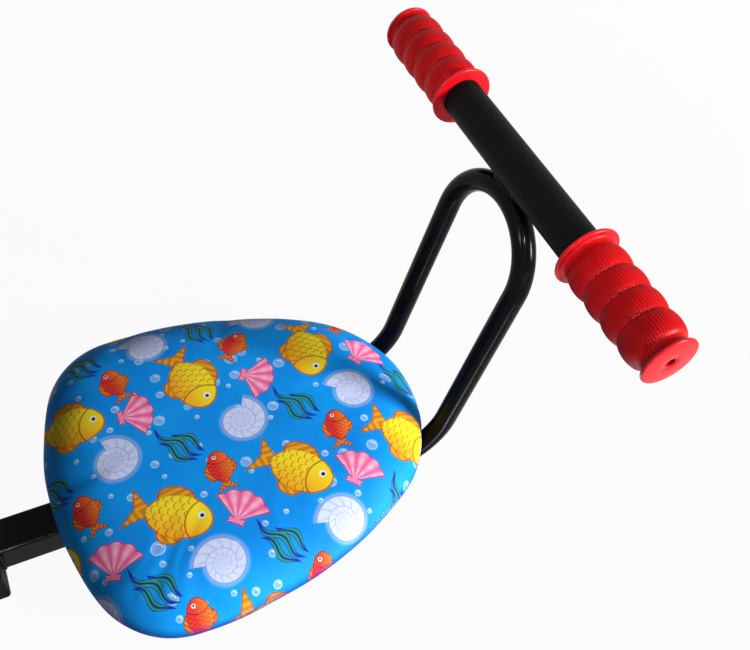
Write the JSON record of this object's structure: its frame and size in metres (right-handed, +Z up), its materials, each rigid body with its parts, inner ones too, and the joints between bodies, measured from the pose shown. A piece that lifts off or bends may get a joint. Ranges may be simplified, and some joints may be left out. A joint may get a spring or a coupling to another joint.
{
  "type": "front child bike seat",
  "caption": "Padded saddle-shaped child seat on a square steel beam with a seat-post clamp, and a bent tube loop in front that carries a short handlebar with rubber grips.",
  "frame": {"origin": "centre of the seat-post clamp's bore, half way up the jaws and level with the beam's axis", "axes": "+X to the rider's right, +Y forward along the beam, +Z up along the clamp's bore"},
  "size_m": [0.3066, 0.4141, 0.2597],
  "materials": {
    "printed_leatherette": "satin, printed",
    "seat_foam": "open-cell foam",
    "plywood": "unvarnished",
    "black_paint": "gloss powder coat",
    "black_plastic": "moulded",
    "red_rubber": "moulded, finely ribbed",
    "zinc_plated_steel": "zinc plated"
  },
  "bodies": {
    "root": {"seat_cover": "printed_leatherette", "seat_foam": "seat_foam", "seat_board": "plywood", "cover_staples": "zinc_plated_steel", "tee_nuts": "zinc_plated_steel", "seat_washers": "zinc_plated_steel", "seat_bolts": "zinc_plated_steel", "main_beam": "black_paint", "beam_end_cap": "black_plastic", "rear_crossplate": "black_paint", "front_crossplate": "black_paint", "handle_loop": "black_paint", "loop_end_plugs": "black_plastic", "handlebar_tube": "black_paint", "grip_right": "red_rubber", "grip_left": "red_rubber", "clamp_fixed_jaw": "black_paint", "clamp_loose_jaw": "black_paint", "clamp_washers": "zinc_plated_steel", "clamp_bolts": "zinc_plated_steel"}
  },
  "joints": []
}
